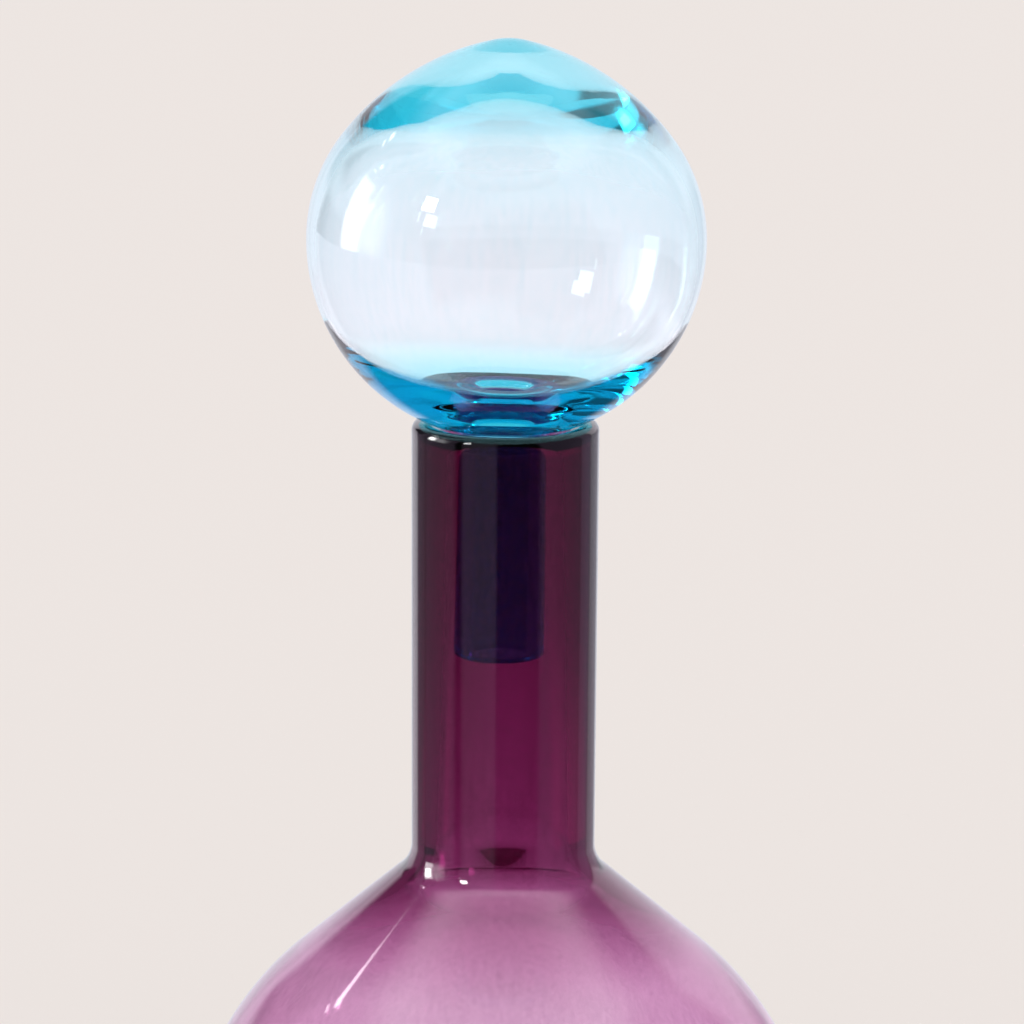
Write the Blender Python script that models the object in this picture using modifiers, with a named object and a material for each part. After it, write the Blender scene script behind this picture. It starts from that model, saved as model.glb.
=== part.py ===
"""A blown glass bottle with a long thick neck and a hollow globe stopper that hangs in it by its stem.

Metres, +Z up. The origin is at the middle of the foot, on the plane that the bottle stands on.
"""

import math

import bpy

# Bottle, outside
BODY_RADIUS = 0.0738
FOOT_RADIUS = 0.0318
HEEL_RADIUS = 0.005
FOOT_LAND_WIDTH = 0.008
PUNT_RISE = 0.004
SHOULDER_SLOPE = math.radians(40.5)
SHOULDER_FILLET = 0.0087
NECK_FOOT_RADIUS = 0.0208
NECK_RADIUS = 0.021
NECK_LENGTH = 0.0974
LIP_EDGE_RADIUS = 0.002
LIP_SEAT_RADIUS = 0.006

# Bottle, inside
BODY_WALL = 0.0015
FLOOR_THICKNESS = 0.009
INNER_HEEL_RADIUS = 0.022
INNER_SHOULDER_SLOPE = math.radians(33.0)
INNER_SHOULDER_ROUNDING = 0.018
NECK_FOOT_WALL = 0.006
THROAT_DEPTH = 0.011

# Stopper, outside: shares are of the globe's radius
GLOBE_RADIUS = 0.0443
CROWN_SHOULDER_SHARE = 0.8465
CROWN_SHOULDER_TURN = math.radians(37.0)
CROWN_TIP_SHARE = 0.3657
CROWN_TIP_TURN = math.radians(76.6)
STEM_CLEARANCE = 0.0032
STEM_FILLET = 0.004
STEM_FLARE = 0.0004
STEM_REACH = 0.0529
STEM_END_ROUNDING = 0.0012
STOPPER_LEAN = math.radians(0.75)
SEAT_CLEARANCE = 0.0003

# Stopper, inside: shares are of the hollow's radius
GLOBE_WALL = 0.0019
CROWN_THICKNESS = 0.0084
ROOF_SHOULDER_SHARE = 0.773
ROOF_SHOULDER_TURN = math.radians(59.0)
ROOF_TIP_SHARE = 0.146
ROOF_TIP_TURN = math.radians(81.8)
GLOBE_FLOOR_THICKNESS = 0.0069
GLOBE_FLOOR_FULLNESS = 2.31
HOLLOW_MOUTH_FLARE = 0.0043
STEM_WALL = 0.0036

# Facets
TURN_STEPS = 40
ARC_STEP = math.radians(12.0)
FEWEST_ARC_STEPS = 3
AXIS_MERGE = 0.00001
SAME_POINT = 1e-7

QUARTER = math.pi / 2
GLASS_IOR = 1.5
GLASS_ROUGHNESS = 0.02
PURPLE_GLASS = (0.29, 0.045, 0.16, 1.0)
BLUE_GLASS = (0.42, 0.78, 0.93, 1.0)


def clear_scene():
    for item in list(bpy.data.objects):
        bpy.data.objects.remove(item, do_unlink=True)


def glass(name, colour):
    material = bpy.data.materials.new(name)
    material.use_nodes = True
    shader = material.node_tree.nodes["Principled BSDF"]
    shader.inputs["Base Color"].default_value = colour
    shader.inputs["Roughness"].default_value = GLASS_ROUGHNESS
    shader.inputs["Metallic"].default_value = 0.0
    shader.inputs["IOR"].default_value = GLASS_IOR
    shader.inputs["Transmission Weight"].default_value = 1.0
    return material


def arc(centre, radius, start, end):
    """Points (radius, height) on an arc, from one angle above level to another."""
    steps = max(FEWEST_ARC_STEPS, math.ceil(abs(end - start) / ARC_STEP))
    angles = (start + (end - start) * i / steps for i in range(steps + 1))
    return [(centre[0] + radius * math.cos(a), centre[1] + radius * math.sin(a)) for a in angles]


def joined(*stretches):
    """One outline from several stretches, with the points that they share kept once."""
    outline = []
    for point in (point for stretch in stretches for point in stretch):
        if not outline or math.dist(point, outline[-1]) > SAME_POINT:
            outline.append((max(point[0], 0.0), point[1]))
    return outline


def turned(name, outline, material, collection):
    """The solid that an outline makes when it is spun about Z, outer side running downwards."""
    mesh = bpy.data.meshes.new(name)
    edges = [(i, i + 1) for i in range(len(outline) - 1)]
    mesh.from_pydata([(r, 0.0, z) for r, z in outline], edges, [])
    mesh.materials.append(material)
    item = bpy.data.objects.new(name, mesh)
    collection.objects.link(item)
    spin = item.modifiers.new("spin", "SCREW")
    spin.axis = "Z"
    spin.steps = TURN_STEPS
    spin.render_steps = TURN_STEPS
    spin.use_merge_vertices = True
    spin.merge_threshold = AXIS_MERGE
    spin.use_smooth_shade = True
    return item


def body_centre_height():
    """Height at which the ball of the body stands on its foot by the heel's rounding."""
    return HEEL_RADIUS + math.sqrt((BODY_RADIUS - HEEL_RADIUS) ** 2 - FOOT_RADIUS**2)


def cone_corner(ball_radius, slope, cylinder_radius):
    """Height at which a cone that touches the body's ball at this slope reaches a cylinder."""
    touch_radius = ball_radius * math.sin(slope)
    touch_height = body_centre_height() + ball_radius * math.cos(slope)
    return touch_height + (touch_radius - cylinder_radius) * math.tan(slope)


def cone_to_cylinder(ball_radius, slope, cylinder_radius, rounding):
    """Centre of the arc that rounds the corner between the shoulder's cone and a cylinder."""
    corner = cone_corner(ball_radius, slope, cylinder_radius)
    return cylinder_radius + rounding, corner + rounding * math.tan((QUARTER - slope) / 2)


def inside_ball(ball_radius, rounding, floor):
    """Centre and angle of the arc that leads from a ball's inner side onto a level floor."""
    height = floor + rounding
    radius = math.sqrt((ball_radius - rounding) ** 2 - (body_centre_height() - height) ** 2)
    return (radius, height), math.atan2(height - body_centre_height(), radius)


def neck_foot_height():
    return cone_to_cylinder(BODY_RADIUS, SHOULDER_SLOPE, NECK_FOOT_RADIUS, SHOULDER_FILLET)[1]


def rim_height():
    return neck_foot_height() + NECK_LENGTH


def seat_centre():
    """Middle of the rounding that the globe sits on, at the lip's inner edge."""
    return NECK_RADIUS - LIP_EDGE_RADIUS, rim_height() - LIP_SEAT_RADIUS


def throat_radius():
    return seat_centre()[0] - LIP_SEAT_RADIUS


def globe_height():
    radius, height = seat_centre()
    reach = GLOBE_RADIUS + LIP_SEAT_RADIUS + SEAT_CLEARANCE
    return height + math.sqrt(reach**2 - radius**2)


def bottle_inside():
    """From the middle of the floor up to the top of the lip."""
    ball = (0.0, body_centre_height())
    ball_radius = BODY_RADIUS - BODY_WALL
    bore_radius = NECK_FOOT_RADIUS - NECK_FOOT_WALL
    heel, heel_angle = inside_ball(ball_radius, INNER_HEEL_RADIUS, FLOOR_THICKNESS)
    shoulder = cone_to_cylinder(
        ball_radius, INNER_SHOULDER_SLOPE, bore_radius, INNER_SHOULDER_ROUNDING
    )
    shoulder_angle = QUARTER - INNER_SHOULDER_SLOPE
    return joined(
        [(0.0, FLOOR_THICKNESS)],
        arc(heel, INNER_HEEL_RADIUS, -QUARTER, heel_angle),
        arc(ball, ball_radius, heel_angle, shoulder_angle),
        arc(shoulder, INNER_SHOULDER_ROUNDING, shoulder_angle - math.pi, -math.pi),
        [(throat_radius(), rim_height() - THROAT_DEPTH)],
        arc(seat_centre(), LIP_SEAT_RADIUS, math.pi, QUARTER),
    )


def bottle_outside():
    """From the top of the lip down to the middle of the foot."""
    ball = (0.0, body_centre_height())
    lip_edge = (NECK_RADIUS - LIP_EDGE_RADIUS, rim_height() - LIP_EDGE_RADIUS)
    fillet = cone_to_cylinder(BODY_RADIUS, SHOULDER_SLOPE, NECK_FOOT_RADIUS, SHOULDER_FILLET)
    shoulder_angle = QUARTER - SHOULDER_SLOPE
    heel, heel_angle = inside_ball(BODY_RADIUS, HEEL_RADIUS, 0.0)
    punt_edge = heel[0] - FOOT_LAND_WIDTH
    punt_radius = (punt_edge**2 + PUNT_RISE**2) / (2 * PUNT_RISE)
    punt_angle = math.acos(punt_edge / punt_radius)
    return joined(
        arc(lip_edge, LIP_EDGE_RADIUS, QUARTER, 0.0),
        arc(fillet, SHOULDER_FILLET, -math.pi, shoulder_angle - math.pi),
        arc(ball, BODY_RADIUS, shoulder_angle, heel_angle),
        arc(heel, HEEL_RADIUS, heel_angle, -QUARTER),
        arc((0.0, PUNT_RISE - punt_radius), punt_radius, punt_angle, QUARTER),
    )


def peaked(radius, shoulder_share, shoulder_turn, tip_share, tip_turn):
    """From a soft peak down a tip, a flank and a shoulder to the widest level, at height zero."""
    shoulder_radius = radius * shoulder_share
    tip_radius = radius * tip_share
    shoulder = (radius - shoulder_radius, 0.0)
    shoulder_end = arc(shoulder, shoulder_radius, 0.0, shoulder_turn)[-1]
    flank_radius = (shoulder_end[0] - tip_radius * math.cos(tip_turn)) / (
        math.cos(shoulder_turn) - math.cos(tip_turn)
    )
    flank = (
        shoulder_end[0] - flank_radius * math.cos(shoulder_turn),
        shoulder_end[1] - flank_radius * math.sin(shoulder_turn),
    )
    tip = (0.0, flank[1] + (flank_radius - tip_radius) * math.sin(tip_turn))
    return joined(
        arc(tip, tip_radius, QUARTER, tip_turn),
        arc(flank, flank_radius, tip_turn, shoulder_turn),
        arc(shoulder, shoulder_radius, shoulder_turn, 0.0),
    )


def crown():
    return peaked(
        GLOBE_RADIUS, CROWN_SHOULDER_SHARE, CROWN_SHOULDER_TURN, CROWN_TIP_SHARE, CROWN_TIP_TURN
    )


def stem_top_radius():
    return throat_radius() - STEM_CLEARANCE


def stem_bore_radius():
    return stem_top_radius() - STEM_WALL


def stem_fillet():
    """Centre of the arc that leads from the globe's underside into the stem."""
    radius = stem_top_radius() + STEM_FILLET
    return radius, -math.sqrt((GLOBE_RADIUS + STEM_FILLET) ** 2 - radius**2)


def globe_outside():
    """From the soft peak on the crown down to where the stem's fillet starts."""
    fillet = stem_fillet()
    return joined(
        crown(),
        arc((0.0, 0.0), GLOBE_RADIUS, 0.0, math.atan2(fillet[1], fillet[0])),
    )


def stem_outside():
    """From the globe's underside down to the stem's open end, and round its edge into the bore."""
    fillet = stem_fillet()
    fillet_angle = math.atan2(-fillet[1], -fillet[0])
    edge_height = rim_height() - STEM_REACH - globe_height() + STEM_END_ROUNDING
    edge = (stem_top_radius() + STEM_FLARE - STEM_END_ROUNDING, edge_height)
    inner_edge = (stem_bore_radius() + STEM_END_ROUNDING, edge_height)
    return joined(
        arc(fillet, STEM_FILLET, fillet_angle, math.pi),
        arc(edge, STEM_END_ROUNDING, 0.0, -QUARTER),
        arc(inner_edge, STEM_END_ROUNDING, -QUARTER, -math.pi),
    )


def globe_inside():
    """From the stem's bore out over the hollow's flattened floor, and up to its own soft peak."""
    radius = GLOBE_RADIUS - GLOBE_WALL
    roof = peaked(
        radius, ROOF_SHOULDER_SHARE, ROOF_SHOULDER_TURN, ROOF_TIP_SHARE, ROOF_TIP_TURN
    )
    level = crown()[0][1] - CROWN_THICKNESS - roof[0][1]
    depth = GLOBE_RADIUS + level - GLOBE_FLOOR_THICKNESS
    power = 2 / GLOBE_FLOOR_FULLNESS
    mouth_radius = stem_bore_radius() + HOLLOW_MOUTH_FLARE
    mouth_turn = math.acos((mouth_radius / radius) ** (1 / power))
    floor = [
        (radius * x**power, -depth * abs(y) ** power)
        for x, y in arc((0.0, 0.0), 1.0, -mouth_turn, 0.0)
    ]
    slope = math.atan(depth / radius / math.tan(mouth_turn) ** (2 - power))
    rounding = HOLLOW_MOUTH_FLARE / (1 - math.sin(slope))
    mouth = (stem_bore_radius() + rounding, floor[0][1] - rounding * math.cos(slope))
    outline = joined(arc(mouth, rounding, math.pi, QUARTER + slope), floor, reversed(roof))
    return [(r, z + level) for r, z in outline]


def build():
    clear_scene()
    parts = bpy.data.collections.new("glass_bottle")
    bpy.context.scene.collection.children.link(parts)
    purple = glass("purple_glass", PURPLE_GLASS)
    blue = glass("blue_glass", BLUE_GLASS)
    turned("bottle", joined(bottle_inside(), bottle_outside()), purple, parts)
    stopper_outline = joined(globe_outside(), stem_outside(), globe_inside())
    stopper = turned("stopper", stopper_outline, blue, parts)
    stopper.location = (0.0, 0.0, globe_height())
    stopper.rotation_euler = (0.0, STOPPER_LEAN, 0.0)


build()
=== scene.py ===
"""Looks of the glass bottle: clear purple and pale blue glass, a pale floor and soft studio light."""

import math

import bpy
from mathutils import Matrix, Vector, noise


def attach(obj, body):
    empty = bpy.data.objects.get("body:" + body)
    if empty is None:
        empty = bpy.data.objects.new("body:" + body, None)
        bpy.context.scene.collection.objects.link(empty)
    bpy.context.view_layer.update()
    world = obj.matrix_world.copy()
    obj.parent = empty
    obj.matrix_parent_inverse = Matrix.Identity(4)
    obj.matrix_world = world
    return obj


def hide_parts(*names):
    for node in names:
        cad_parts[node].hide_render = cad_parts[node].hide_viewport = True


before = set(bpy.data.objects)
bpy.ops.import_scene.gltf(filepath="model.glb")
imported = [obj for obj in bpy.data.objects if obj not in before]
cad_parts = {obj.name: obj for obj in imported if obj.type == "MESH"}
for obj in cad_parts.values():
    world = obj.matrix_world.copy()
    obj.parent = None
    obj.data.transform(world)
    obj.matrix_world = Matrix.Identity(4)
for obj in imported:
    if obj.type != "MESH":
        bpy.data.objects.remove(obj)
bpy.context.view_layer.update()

# Bottle, outside
BODY_RADIUS = 0.0738
FOOT_RADIUS = 0.0318
HEEL_RADIUS = 0.005
FOOT_LAND_WIDTH = 0.008
PUNT_RISE = 0.004
SHOULDER_SLOPE = math.radians(40.5)
SHOULDER_FILLET = 0.0087
NECK_FOOT_RADIUS = 0.0208
NECK_RADIUS = 0.021
NECK_LENGTH = 0.0974
LIP_EDGE_RADIUS = 0.002
LIP_SEAT_RADIUS = 0.006

# Bottle, inside
BODY_WALL = 0.0015
FLOOR_THICKNESS = 0.009
INNER_HEEL_RADIUS = 0.022
INNER_SHOULDER_SLOPE = math.radians(33.0)
INNER_SHOULDER_ROUNDING = 0.018
NECK_FOOT_WALL = 0.006
THROAT_DEPTH = 0.011

# Stopper, outside: shares are of the globe's radius
GLOBE_RADIUS = 0.0443
CROWN_SHOULDER_SHARE = 0.8465
CROWN_SHOULDER_TURN = math.radians(37.0)
CROWN_TIP_SHARE = 0.3657
CROWN_TIP_TURN = math.radians(76.6)
STEM_CLEARANCE = 0.0032
STEM_FILLET = 0.004
STEM_FLARE = 0.0004
STEM_REACH = 0.0529
STEM_END_ROUNDING = 0.0012
STOPPER_LEAN = math.radians(0.75)
SEAT_CLEARANCE = 0.0003

# Stopper, inside: shares are of the hollow's radius
GLOBE_WALL = 0.0019
CROWN_THICKNESS = 0.0084
ROOF_SHOULDER_SHARE = 0.773
ROOF_SHOULDER_TURN = math.radians(59.0)
ROOF_TIP_SHARE = 0.146
ROOF_TIP_TURN = math.radians(81.8)
GLOBE_FLOOR_THICKNESS = 0.0069
GLOBE_FLOOR_FULLNESS = 2.31
HOLLOW_MOUTH_FLARE = 0.0043
STEM_WALL = 0.0036

TURN_STEPS = 256
ARC_STEP = math.radians(2.0)
FEWEST_ARC_STEPS = 8
SAME_POINT = 1e-7
QUARTER = math.pi / 2

# Camera: the photograph is 1024 pixels wide
PHOTO_WIDTH_PX = 1024
FOCAL_LENGTH_PX = 4848
AXIS_OFFSET_PX = -7.0
SENSOR_WIDTH_MM = 36.0
CAMERA_DISTANCE = 1.0846
CAMERA_PITCH = math.radians(12.7)
CAMERA_ROLL = math.radians(0.35)
AIM_BELOW_RIM = 0.0208

# Glass: absorption of red, green and blue light for each metre of glass
# The gather is a deeper blue inside the stopper's own glass, so it doesn't bend light again
PURPLE_ABSORPTION = (166.0, 366.0, 226.0)
BLUE_ABSORPTION = (48.0, 7.0, 4.0)
GATHER_ABSORPTION = (150.0, 14.0, 2.0)
GATHER_IOR = 1.0
GATHER_TURN = math.radians(-40.0)
GATHER_DEPTH = 0.0004
GATHER_COVER = 0.0016
STEM_TINT = (0.13, 0.52, 0.74)
STEM_TINT_TOP = -0.0405
STEM_TINT_FULL = -0.0440
GLASS_IOR = 1.5
BOTTLE_COAT = 0.6
GLASS_BOUNCES = 40

# Marks of blowing: shares are of the radius where the inner and the outer surface wander
BOTTLE_WANDER_SHARES = (0.0026, 0.004)
STOPPER_WANDER_SHARES = (0.008, 0.002)
WANDER_LENGTH = 0.024
WANDER_STRETCH = 2.5
RIPPLE_LENGTH = 0.0055
RIPPLE_DEPTH = 0.00001
RIPPLE_DETAIL = 1.0
CORD_LENGTH = 0.0012
CORD_STRETCH = 14.0
CORD_DETAIL = 3.0
CORD_NOISE_RANGE = (0.42, 0.72)
BOTTLE_CORD_TINT = (0.93, 0.89, 0.93)
STOPPER_CORD_TINT = (0.95, 0.985, 0.99)

# Backdrop as the camera sees it, and as the glass bends it into view
BACKDROP_COLOUR = (0.846, 0.787, 0.757)
LIGHT_BACKDROP = (1.05, 0.955, 1.045)
DARK_ROOM = (0.02, 0.02, 0.022)
WHITE = (1.0, 1.0, 1.0)

# Floor, and the painted light that it adds as emission to what is seen through the glass: a painted
# pool of light near the bottle, painted light in some sectors, and painted light round the foot that
# lightens the bottle's shadow
FLOOR_HALF_WIDTH = 12.0
PAINTED_SECTOR_LIGHT = (0.75, 0.55, 0.62)
PAINTED_LIGHT_POOL_REACH = (0.65, 0.90)
PAINTED_LIGHT_POOL = 0.12
PAINTED_FOOT_LIGHT = (0.62, 0.52, 0.60)
PAINTED_FOOT_LIGHT_REACH = (0.08, 0.16)

# Sectors of the floor with painted light, in degrees left of the camera: from, to, softness
PAINTED_LIGHT_SECTORS = ((-163, -112, 4), (150, 157, 3))

# Patches of the room round the bottle, in degrees left of the camera and above level
# Each one: name, left from and to, above from and to, softness, colour; later ones lie on top
# What rays see that pass through the glass
SEEN_THROUGH = (
    ("back", 145, 200, -90, 90, 4, LIGHT_BACKDROP),
    ("back_right", -200, -100, -90, 90, 7, LIGHT_BACKDROP),
    ("right_wall", -104, -55, -90, 60, 4, (0.95, 0.90, 0.98)),
    ("left_high_light", 92, 147, 9, 60, 3, LIGHT_BACKDROP),
    ("ceiling", -200, 200, 46, 120, 8, (0.90, 0.86, 0.90)),
    ("left_dark", 126, 150, 19, 60, 3, (0.05, 0.04, 0.06)),
    ("front_left", 10, 54, -90, 60, 3, (0.25, 0.25, 0.26)),
    ("left_gap", 110, 145, -90, 11, 3, (0.20, 0.20, 0.21)),
    ("left_wall", 64, 94, -90, 60, 4, (0.42, 0.42, 0.44)),
)

# What rays see that the glass mirrors
MIRRORED = (
    ("back", 154, 200, -34, 90, 6, (0.80, 0.80, 0.88)),
    ("back_right", -200, -154, -34, 90, 6, (0.80, 0.80, 0.88)),
    ("side_left", 134, 156, -34, 50, 4, (0.85, 0.80, 0.90)),
    ("side_right", -156, -128, -34, 2, 5, (0.46, 0.44, 0.52)),
    ("side_right_high", -160, -130, 2, 60, 5, (0.92, 0.85, 0.95)),
    ("right_near_back", -128, -106, -34, 60, 4, (0.34, 0.27, 0.40)),
    ("right_wall", -106, -44, -38, 60, 4, (0.22, 0.17, 0.26)),
    ("front_left", 10, 54, -38, 60, 3, (0.23, 0.20, 0.26)),
    ("left_wall", 64, 115, -38, 60, 4, (0.26, 0.20, 0.29)),
    ("left_near_back", 115, 136, -34, 60, 4, (0.24, 0.19, 0.26)),
    ("ceiling", -200, 200, 53, 120, 9, (2.0, 1.9, 2.02)),
    ("left_dark", 126, 150, 6, 44, 3.5, (0.06, 0.05, 0.07)),
    ("zenith", -200, 200, 82, 120, 5, (1.65, 1.5, 1.65)),
)

# Windows and sky, which the glass both mirrors and shows behind it
LAMPS = (
    ("ceiling", -200, 200, 70, 90, 20, (0.6, 0.6, 0.62)),
    ("window_glow", 78, 96, -4, 26, 7, (2.0, 2.0, 2.1)),
    ("window", 95, 109, -5, 26, 1.6, (5.0, 5.0, 5.0)),
    ("window_core", 98, 107, 6, 22, 2.0, (20.0, 20.0, 20.0)),
    ("window_bar", 88.5, 90.5, 15, 29, 1.0, (3.0, 3.0, 3.0)),
    ("pane_high", 46, 55, 25.8, 34.6, 0.5, (22.0, 22.0, 22.0)),
    ("pane_edge", 54.4, 55.3, 18.5, 24, 0.5, (7.0, 7.0, 7.0)),
    ("skylight", 118.5, 122, 39.0, 40.2, 1.1, (14.0, 13.0, 14.0)),
    ("skylight_low", 118.5, 122, 36.0, 36.7, 0.6, (7.0, 6.3, 7.0)),
)


def arc(centre, radius, start, end):
    """Points (radius, height) on an arc, from one angle above level to another."""
    steps = max(FEWEST_ARC_STEPS, math.ceil(abs(end - start) / ARC_STEP))
    angles = (start + (end - start) * i / steps for i in range(steps + 1))
    return [(centre[0] + radius * math.cos(a), centre[1] + radius * math.sin(a)) for a in angles]


def joined(*stretches):
    """One outline from several stretches, with the points that they share kept once."""
    outline = []
    for point in (point for stretch in stretches for point in stretch):
        if not outline or math.dist(point, outline[-1]) > SAME_POINT:
            outline.append((max(point[0], 0.0), point[1]))
    return outline


def body_centre_height():
    """Height at which the ball of the body stands on its foot by the heel's rounding."""
    return HEEL_RADIUS + math.sqrt((BODY_RADIUS - HEEL_RADIUS) ** 2 - FOOT_RADIUS**2)


def cone_corner(ball_radius, slope, cylinder_radius):
    """Height at which a cone that touches the body's ball at this slope reaches a cylinder."""
    touch_radius = ball_radius * math.sin(slope)
    touch_height = body_centre_height() + ball_radius * math.cos(slope)
    return touch_height + (touch_radius - cylinder_radius) * math.tan(slope)


def cone_to_cylinder(ball_radius, slope, cylinder_radius, rounding):
    """Centre of the arc that rounds the corner between the shoulder's cone and a cylinder."""
    corner = cone_corner(ball_radius, slope, cylinder_radius)
    return cylinder_radius + rounding, corner + rounding * math.tan((QUARTER - slope) / 2)


def inside_ball(ball_radius, rounding, floor):
    """Centre and angle of the arc that leads from a ball's inner side onto a level floor."""
    height = floor + rounding
    radius = math.sqrt((ball_radius - rounding) ** 2 - (body_centre_height() - height) ** 2)
    return (radius, height), math.atan2(height - body_centre_height(), radius)


def neck_foot_height():
    return cone_to_cylinder(BODY_RADIUS, SHOULDER_SLOPE, NECK_FOOT_RADIUS, SHOULDER_FILLET)[1]


def rim_height():
    return neck_foot_height() + NECK_LENGTH


def seat_centre():
    """Middle of the rounding that the globe sits on, at the lip's inner edge."""
    return NECK_RADIUS - LIP_EDGE_RADIUS, rim_height() - LIP_SEAT_RADIUS


def throat_radius():
    return seat_centre()[0] - LIP_SEAT_RADIUS


def globe_height():
    radius, height = seat_centre()
    reach = GLOBE_RADIUS + LIP_SEAT_RADIUS + SEAT_CLEARANCE
    return height + math.sqrt(reach**2 - radius**2)


def bottle_inside():
    """From the middle of the floor up to the top of the lip."""
    ball = (0.0, body_centre_height())
    ball_radius = BODY_RADIUS - BODY_WALL
    bore_radius = NECK_FOOT_RADIUS - NECK_FOOT_WALL
    heel, heel_angle = inside_ball(ball_radius, INNER_HEEL_RADIUS, FLOOR_THICKNESS)
    shoulder = cone_to_cylinder(
        ball_radius, INNER_SHOULDER_SLOPE, bore_radius, INNER_SHOULDER_ROUNDING
    )
    shoulder_angle = QUARTER - INNER_SHOULDER_SLOPE
    return joined(
        [(0.0, FLOOR_THICKNESS)],
        arc(heel, INNER_HEEL_RADIUS, -QUARTER, heel_angle),
        arc(ball, ball_radius, heel_angle, shoulder_angle),
        arc(shoulder, INNER_SHOULDER_ROUNDING, shoulder_angle - math.pi, -math.pi),
        [(throat_radius(), rim_height() - THROAT_DEPTH)],
        arc(seat_centre(), LIP_SEAT_RADIUS, math.pi, QUARTER),
    )


def bottle_outside():
    """From the top of the lip down to the middle of the foot."""
    ball = (0.0, body_centre_height())
    lip_edge = (NECK_RADIUS - LIP_EDGE_RADIUS, rim_height() - LIP_EDGE_RADIUS)
    fillet = cone_to_cylinder(BODY_RADIUS, SHOULDER_SLOPE, NECK_FOOT_RADIUS, SHOULDER_FILLET)
    shoulder_angle = QUARTER - SHOULDER_SLOPE
    heel, heel_angle = inside_ball(BODY_RADIUS, HEEL_RADIUS, 0.0)
    punt_edge = heel[0] - FOOT_LAND_WIDTH
    punt_radius = (punt_edge**2 + PUNT_RISE**2) / (2 * PUNT_RISE)
    punt_angle = math.acos(punt_edge / punt_radius)
    return joined(
        arc(lip_edge, LIP_EDGE_RADIUS, QUARTER, 0.0),
        arc(fillet, SHOULDER_FILLET, -math.pi, shoulder_angle - math.pi),
        arc(ball, BODY_RADIUS, shoulder_angle, heel_angle),
        arc(heel, HEEL_RADIUS, heel_angle, -QUARTER),
        arc((0.0, PUNT_RISE - punt_radius), punt_radius, punt_angle, QUARTER),
    )


def peaked(radius, shoulder_share, shoulder_turn, tip_share, tip_turn):
    """From a soft peak down a tip, a flank and a shoulder to the widest level, at height zero."""
    shoulder_radius = radius * shoulder_share
    tip_radius = radius * tip_share
    shoulder = (radius - shoulder_radius, 0.0)
    shoulder_end = arc(shoulder, shoulder_radius, 0.0, shoulder_turn)[-1]
    flank_radius = (shoulder_end[0] - tip_radius * math.cos(tip_turn)) / (
        math.cos(shoulder_turn) - math.cos(tip_turn)
    )
    flank = (
        shoulder_end[0] - flank_radius * math.cos(shoulder_turn),
        shoulder_end[1] - flank_radius * math.sin(shoulder_turn),
    )
    tip = (0.0, flank[1] + (flank_radius - tip_radius) * math.sin(tip_turn))
    return joined(
        arc(tip, tip_radius, QUARTER, tip_turn),
        arc(flank, flank_radius, tip_turn, shoulder_turn),
        arc(shoulder, shoulder_radius, shoulder_turn, 0.0),
    )


def crown():
    return peaked(
        GLOBE_RADIUS, CROWN_SHOULDER_SHARE, CROWN_SHOULDER_TURN, CROWN_TIP_SHARE, CROWN_TIP_TURN
    )


def stem_top_radius():
    return throat_radius() - STEM_CLEARANCE


def stem_bore_radius():
    return stem_top_radius() - STEM_WALL


def stem_fillet():
    """Centre of the arc that leads from the globe's underside into the stem."""
    radius = stem_top_radius() + STEM_FILLET
    return radius, -math.sqrt((GLOBE_RADIUS + STEM_FILLET) ** 2 - radius**2)


def globe_outside():
    """From the soft peak on the crown down to where the stem's fillet starts."""
    fillet = stem_fillet()
    return joined(
        crown(),
        arc((0.0, 0.0), GLOBE_RADIUS, 0.0, math.atan2(fillet[1], fillet[0])),
    )


def stem_outside():
    """From the globe's underside down to the stem's open end, and round its edge into the bore."""
    fillet = stem_fillet()
    fillet_angle = math.atan2(-fillet[1], -fillet[0])
    edge_height = rim_height() - STEM_REACH - globe_height() + STEM_END_ROUNDING
    edge = (stem_top_radius() + STEM_FLARE - STEM_END_ROUNDING, edge_height)
    inner_edge = (stem_bore_radius() + STEM_END_ROUNDING, edge_height)
    return joined(
        arc(fillet, STEM_FILLET, fillet_angle, math.pi),
        arc(edge, STEM_END_ROUNDING, 0.0, -QUARTER),
        arc(inner_edge, STEM_END_ROUNDING, -QUARTER, -math.pi),
    )


def globe_inside():
    """From the stem's bore out over the hollow's flattened floor, and up to its own soft peak."""
    radius = GLOBE_RADIUS - GLOBE_WALL
    roof = peaked(
        radius, ROOF_SHOULDER_SHARE, ROOF_SHOULDER_TURN, ROOF_TIP_SHARE, ROOF_TIP_TURN
    )
    level = crown()[0][1] - CROWN_THICKNESS - roof[0][1]
    depth = GLOBE_RADIUS + level - GLOBE_FLOOR_THICKNESS
    power = 2 / GLOBE_FLOOR_FULLNESS
    mouth_radius = stem_bore_radius() + HOLLOW_MOUTH_FLARE
    mouth_turn = math.acos((mouth_radius / radius) ** (1 / power))
    floor = [
        (radius * x**power, -depth * abs(y) ** power)
        for x, y in arc((0.0, 0.0), 1.0, -mouth_turn, 0.0)
    ]
    slope = math.atan(depth / radius / math.tan(mouth_turn) ** (2 - power))
    rounding = HOLLOW_MOUTH_FLARE / (1 - math.sin(slope))
    mouth = (stem_bore_radius() + rounding, floor[0][1] - rounding * math.cos(slope))
    outline = joined(arc(mouth, rounding, math.pi, QUARTER + slope), floor, reversed(roof))
    return [(r, z + level) for r, z in outline]


def gather_outline():
    """Loop round the thick glass under the hollow, just inside the globe's glass."""
    outer_radius = GLOBE_RADIUS - GATHER_DEPTH
    stem_turn = -math.acos(stem_top_radius() / outer_radius)
    outer = arc((0.0, 0.0), outer_radius, GATHER_TURN, stem_turn)
    hollow = []
    for r, z in globe_inside():
        scale = 1 + GATHER_COVER / math.hypot(r, z)
        hollow.append((r * scale, z * scale))
    top = outer[0][1]
    inner = [point for point in hollow if stem_top_radius() < point[0] and point[1] < top]
    return outer + inner


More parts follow.
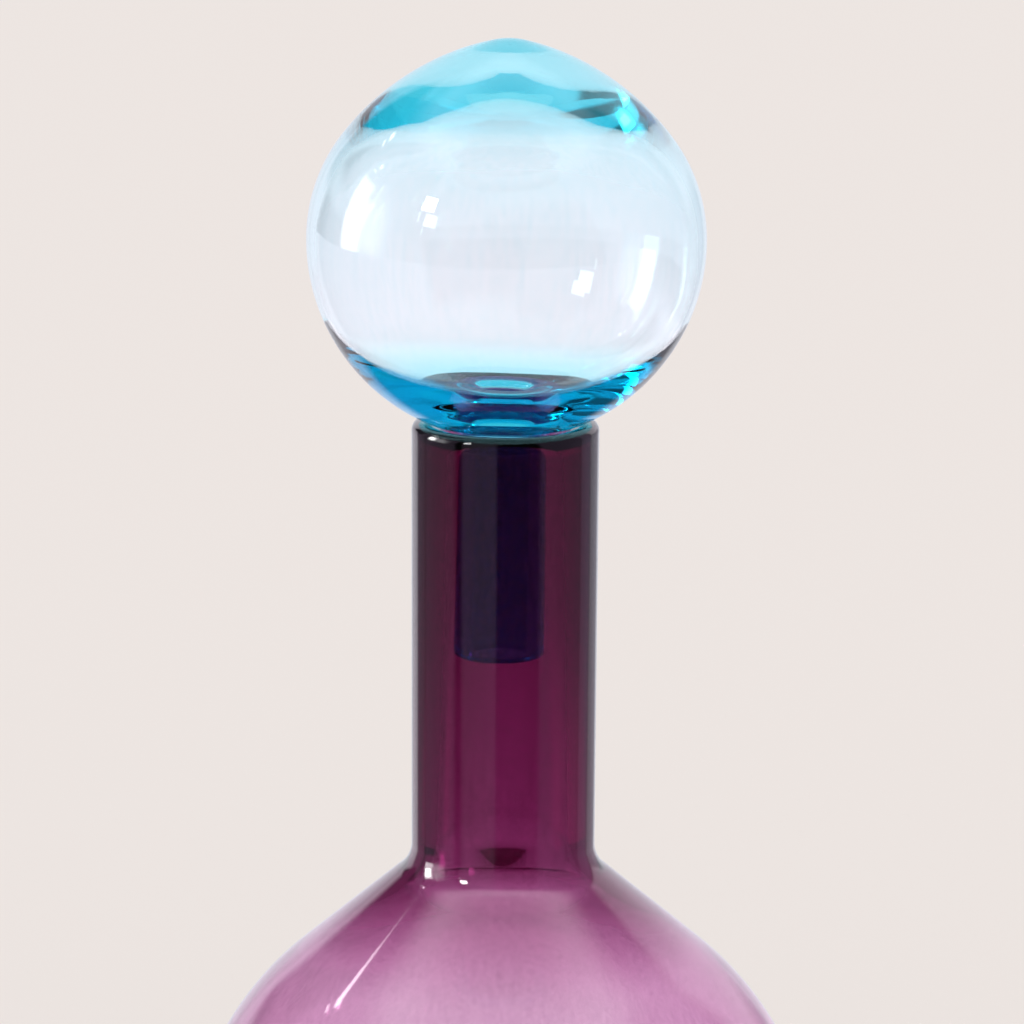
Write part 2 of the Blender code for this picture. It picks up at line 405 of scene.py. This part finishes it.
def wandered(point, share, inward):
    """The point moved in or out a little, or only in, as the surface of blown glass wanders."""
    x, y, z = point
    along = Vector((x, y, z / WANDER_STRETCH)) / WANDER_LENGTH
    wave = noise.noise(along)
    if inward:
        wave = (wave - 1) / 2
    scale = 1 + share * wave
    return x * scale, y * scale, z


def turned(name, outline, inside, wander_shares, place):
    """A closed mesh from an outline that starts and ends on the axis, with one vertex at each end."""
    inside_share, outside_share = wander_shares
    rings = [(r, z) for r, z in outline if r > SAME_POINT]
    inner_rings = set(inside)
    vertices = []
    for r, z in rings:
        outer = (r, z) not in inner_rings
        for j in range(TURN_STEPS):
            a = 2 * math.pi * j / TURN_STEPS
            point = (r * math.cos(a), r * math.sin(a), z)
            vertices.append(wandered(point, outside_share if outer else inside_share, outer))
    first, last = len(vertices), len(vertices) + 1
    vertices += [(0.0, 0.0, outline[0][1]), (0.0, 0.0, outline[-1][1])]
    faces = []
    for j in range(TURN_STEPS):
        k = (j + 1) % TURN_STEPS
        faces.append((first, k, j))
        for i in range(len(rings) - 1):
            a, b = i * TURN_STEPS, (i + 1) * TURN_STEPS
            faces.append((a + j, a + k, b + k, b + j))
        top = (len(rings) - 1) * TURN_STEPS
        faces.append((top + j, top + k, last))
    return made(name, vertices, faces, place)


def ring(name, loop, place):
    """A closed mesh from a loop that stays off the axis."""
    vertices = []
    for r, z in loop:
        angles = (2 * math.pi * j / TURN_STEPS for j in range(TURN_STEPS))
        vertices += [(r * math.cos(a), r * math.sin(a), z) for a in angles]
    faces = []
    for i in range(len(loop)):
        a, b = i * TURN_STEPS, (i + 1) % len(loop) * TURN_STEPS
        for j in range(TURN_STEPS):
            k = (j + 1) % TURN_STEPS
            faces.append((a + j, a + k, b + k, b + j))
    return made(name, vertices, faces, place)


def made(name, vertices, faces, place):
    """An object from these points and faces, with its outside facing outwards."""
    mesh = bpy.data.meshes.new(name)
    mesh.from_pydata(vertices, [], faces)
    mesh.transform(place)
    mesh.validate()
    mesh.flip_normals()
    mesh.shade_smooth()
    item = bpy.data.objects.new(name, mesh)
    bpy.context.scene.collection.objects.link(item)
    return item


class Nodes:
    """Short calls for the node trees of the materials and the world."""

    def __init__(self, tree):
        self.tree = tree

    def node(self, kind, **settings):
        node = self.tree.nodes.new(kind)
        for key, value in settings.items():
            setattr(node, key, value)
        return node

    def calculate(self, operation, *values):
        node = self.node("ShaderNodeMath", operation=operation)
        self.feed(node.inputs, values)
        return node.outputs["Value"]

    def feed(self, sockets, values):
        for socket, value in zip(sockets, values):
            if isinstance(value, (int, float)):
                socket.default_value = value
            elif isinstance(value, tuple):
                socket.default_value = (*value, 1.0)
            else:
                self.tree.links.new(value, socket)

    def put(self, value, socket):
        self.feed((socket,), (value,))

    def ramp(self, value, low, high):
        """Rises smoothly from 0 to 1 between low and high, and falls where low is the larger."""
        node = self.node("ShaderNodeMapRange", interpolation_type="SMOOTHSTEP")
        self.feed(node.inputs, (value, low, high, 0.0, 1.0))
        return node.outputs["Result"]

    def band(self, value, low, high, soft):
        """1 between low and high, and 0 outside them."""
        rise = self.ramp(value, low - soft, low + soft)
        fall = self.ramp(value, high - soft, high + soft)
        return self.calculate("SUBTRACT", rise, fall)

    def patch(self, across, up, left, right, low, high, soft):
        """1 inside a patch of the room, and 0 outside it."""
        sides = self.band(across, left, right, soft)
        return self.calculate("MULTIPLY", sides, self.band(up, low, high, soft))

    def bearing(self, x, y):
        """Degrees to the left of the photograph's camera, seen from the bottle."""
        backward = (self.calculate("MULTIPLY", value, -1.0) for value in (x, y))
        turn = self.calculate("ARCTAN2", *backward)
        return self.calculate("MULTIPLY", turn, 180 / math.pi)

    def mix(self, factor, first, second):
        """Colour between two: a mix node keeps its colour sockets after those of numbers."""
        node = self.node("ShaderNodeMix", data_type="RGBA")
        self.feed((node.inputs[0], node.inputs[6], node.inputs[7]), (factor, first, second))
        return node.outputs[2]


def glass(name, absorption, ior=GLASS_IOR):
    """Clear glass whose depth gives the colour."""
    material = bpy.data.materials.new(name)
    material.use_nodes = True
    nodes, links = material.node_tree.nodes, material.node_tree.links
    shader = nodes["Principled BSDF"]
    shader.inputs["Base Color"].default_value = (*WHITE, 1.0)
    shader.inputs["Roughness"].default_value = 0.0
    shader.inputs["IOR"].default_value = ior
    shader.inputs["Transmission Weight"].default_value = 1.0
    density = max(absorption)
    volume = nodes.new("ShaderNodeVolumeAbsorption")
    volume.inputs["Color"].default_value = (*(1 - a / density for a in absorption), 1.0)
    volume.inputs["Density"].default_value = density
    links.new(volume.outputs["Volume"], nodes["Material Output"].inputs["Volume"])
    ripple(material)
    return material


def make_bottle():
    inside = bottle_inside()
    outline = joined(inside, bottle_outside())
    item = turned("bottle_glass", outline, inside, BOTTLE_WANDER_SHARES, Matrix())
    material = glass("purple glass", PURPLE_ABSORPTION)
    shader = material.node_tree.nodes["Principled BSDF"]
    shader.inputs["Coat Weight"].default_value = BOTTLE_COAT
    shader.inputs["Coat Roughness"].default_value = 0.0
    n = Nodes(material.node_tree)
    n.put(cords(n, BOTTLE_CORD_TINT), shader.inputs["Base Color"])
    item.data.materials.append(material)
    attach(item, "bottle")
    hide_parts("bottle")


def cords(n, tint):
    """Faint streaks that run down and outwards with the glass as it was drawn."""
    place = n.node("ShaderNodeTexCoord").outputs["Object"]
    squeeze = n.node("ShaderNodeVectorMath", operation="MULTIPLY")
    n.put(place, squeeze.inputs[0])
    squeeze.inputs[1].default_value = (1.0, 1.0, 1 / CORD_STRETCH)
    streaks = n.node("ShaderNodeTexNoise")
    streaks.inputs["Scale"].default_value = 1 / CORD_LENGTH
    streaks.inputs["Detail"].default_value = CORD_DETAIL
    n.put(squeeze.outputs["Vector"], streaks.inputs["Vector"])
    return n.mix(n.ramp(streaks.outputs[0], *CORD_NOISE_RANGE), WHITE, tint)


def ripple(material):
    """Small waves in the surface, which bend what it mirrors."""
    n = Nodes(material.node_tree)
    waves = n.node("ShaderNodeTexNoise")
    waves.inputs["Scale"].default_value = 1 / RIPPLE_LENGTH
    waves.inputs["Detail"].default_value = RIPPLE_DETAIL
    n.put(n.node("ShaderNodeTexCoord").outputs["Object"], waves.inputs["Vector"])
    bump = n.node("ShaderNodeBump")
    bump.inputs["Distance"].default_value = RIPPLE_DEPTH
    n.put(waves.outputs[0], bump.inputs["Height"])
    shader = material.node_tree.nodes["Principled BSDF"]
    n.put(bump.outputs["Normal"], shader.inputs["Normal"])


def deepen(material):
    """Adds the tint of the stem and the streaks to the stopper's glass."""
    n = Nodes(material.node_tree)
    split = n.node("ShaderNodeSeparateXYZ")
    n.feed(split.inputs, (n.node("ShaderNodeTexCoord").outputs["Object"],))
    height = split.outputs["Z"]
    centre = globe_height()
    stem = n.ramp(height, centre + STEM_TINT_FULL, centre + STEM_TINT_TOP)
    tint = n.mix(stem, STEM_TINT, cords(n, STOPPER_CORD_TINT))
    n.put(tint, material.node_tree.nodes["Principled BSDF"].inputs["Base Color"])


def make_stopper():
    place = Matrix.Translation((0.0, 0.0, globe_height())) @ Matrix.Rotation(STOPPER_LEAN, 4, "Y")
    inside = globe_inside()
    outline = joined(globe_outside(), stem_outside(), inside)
    item = turned("stopper_glass", outline, inside, STOPPER_WANDER_SHARES, place)
    material = glass("blue glass", BLUE_ABSORPTION)
    deepen(material)
    item.data.materials.append(material)
    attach(item, "stopper")
    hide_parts("stopper")
    gather = ring("stopper_gather", gather_outline(), place)
    gather.data.materials.append(glass("deep blue glass", GATHER_ABSORPTION, GATHER_IOR))
    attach(gather, "stopper")


def make_camera():
    """The photograph's camera, fitted to the bottle's outline."""
    data = bpy.data.cameras.new("camera")
    data.sensor_width = SENSOR_WIDTH_MM
    data.lens = SENSOR_WIDTH_MM * FOCAL_LENGTH_PX / PHOTO_WIDTH_PX
    item = bpy.data.objects.new("camera", data)
    bpy.context.scene.collection.objects.link(item)
    across = -AXIS_OFFSET_PX * CAMERA_DISTANCE / FOCAL_LENGTH_PX
    aim = Vector((across, 0.0, rim_height() - AIM_BELOW_RIM))
    back = Vector((0.0, -math.cos(CAMERA_PITCH), math.sin(CAMERA_PITCH)))
    item.location = aim + CAMERA_DISTANCE * back
    turn = Matrix.Rotation(QUARTER - CAMERA_PITCH, 3, "X") @ Matrix.Rotation(CAMERA_ROLL, 3, "Z")
    item.rotation_euler = turn.to_euler()
    bpy.context.scene.camera = item


def make_world():
    """White light, with one room for rays that the glass mirrors and one for those it lets through."""
    world = bpy.data.worlds.new("studio")
    bpy.context.scene.world = world
    world.use_nodes = True
    n = Nodes(world.node_tree)
    background = world.node_tree.nodes["Background"]
    split = n.node("ShaderNodeSeparateXYZ")
    n.feed(split.inputs, (n.node("ShaderNodeTexCoord").outputs["Generated"],))
    across = n.bearing(split.outputs["X"], split.outputs["Y"])
    up = n.calculate("MULTIPLY", n.calculate("ARCSINE", split.outputs["Z"]), 180 / math.pi)
    lamps = [(n.patch(across, up, *edges), colour) for _name, *edges, colour in LAMPS]
    rooms = []
    for room_patches in (SEEN_THROUGH, MIRRORED):
        room = DARK_ROOM
        for _name, *edges, colour in room_patches:
            room = n.mix(n.patch(across, up, *edges), room, colour)
        for lamp, colour in lamps:
            room = n.mix(lamp, room, colour)
        rooms.append(room)
    seen_through, mirrored = rooms
    path = n.node("ShaderNodeLightPath").outputs
    seen = n.mix(path["Is Camera Ray"], WHITE, BACKDROP_COLOUR)
    seen = n.mix(path["Is Glossy Ray"], seen, mirrored)
    seen = n.mix(path["Is Transmission Ray"], seen, seen_through)
    n.put(seen, background.inputs["Color"])


def painted_floor_light(n):
    """Painted light, stronger near the bottle, in the painted light sectors, and round the foot, where
    it lightens the bottle's shadow.
    """
    place = n.node("ShaderNodeTexCoord").outputs["Object"]
    split = n.node("ShaderNodeSeparateXYZ")
    n.feed(split.inputs, (place,))
    across = n.bearing(split.outputs["X"], split.outputs["Y"])
    length = n.node("ShaderNodeVectorMath", operation="LENGTH")
    n.feed(length.inputs, (place,))
    distance = length.outputs["Value"]
    plain = tuple(max(c - 1.0, 0.0) for c in LIGHT_BACKDROP)
    # Painted pool of light near the bottle, and painted light in the sectors below
    near = n.ramp(distance, *reversed(PAINTED_LIGHT_POOL_REACH))
    painted_glow = n.mix(near, plain, tuple(c + PAINTED_LIGHT_POOL for c in plain))
    for sector in PAINTED_LIGHT_SECTORS:
        painted_lit_sector = n.calculate("MULTIPLY", n.band(across, *sector), near)
        painted_glow = n.mix(painted_lit_sector, painted_glow, PAINTED_SECTOR_LIGHT)
    # Painted light round the foot, which lightens the bottle's own shadow as seen through the glass
    foot = n.ramp(distance, *reversed(PAINTED_FOOT_LIGHT_REACH))
    return n.mix(foot, painted_glow, PAINTED_FOOT_LIGHT)


def make_floor():
    """The floor, in a pale colour, with painted light: it glows a little, but only for rays that pass
    through the glass.
    """
    mesh = bpy.data.meshes.new("floor")
    half = FLOOR_HALF_WIDTH
    corners = [(-half, -half, 0.0), (half, -half, 0.0), (half, half, 0.0), (-half, half, 0.0)]
    mesh.from_pydata(corners, [], [(0, 1, 2, 3)])
    item = bpy.data.objects.new("floor", mesh)
    bpy.context.scene.collection.objects.link(item)
    material = bpy.data.materials.new("pale floor with painted light")
    material.use_nodes = True
    n = Nodes(material.node_tree)
    shader = material.node_tree.nodes["Principled BSDF"]
    shader.inputs["Roughness"].default_value = 1.0
    shader.inputs["Specular IOR Level"].default_value = 0.0
    through = n.node("ShaderNodeLightPath").outputs["Is Transmission Ray"]
    reflected = tuple(min(c, 1.0) for c in LIGHT_BACKDROP)
    n.put(n.mix(through, BACKDROP_COLOUR, reflected), shader.inputs["Base Color"])
    # Painted light: an emission that only rays passing through the glass see
    n.put(painted_floor_light(n), shader.inputs["Emission Color"])
    n.put(through, shader.inputs["Emission Strength"])
    item.data.materials.append(material)
    item.visible_glossy = False


make_camera()
make_bottle()
make_stopper()
make_floor()
make_world()
bpy.context.scene.view_settings.view_transform = "Standard"
bpy.context.scene.cycles.max_bounces = GLASS_BOUNCES
bpy.context.scene.cycles.glossy_bounces = GLASS_BOUNCES
bpy.context.scene.cycles.transmission_bounces = GLASS_BOUNCES
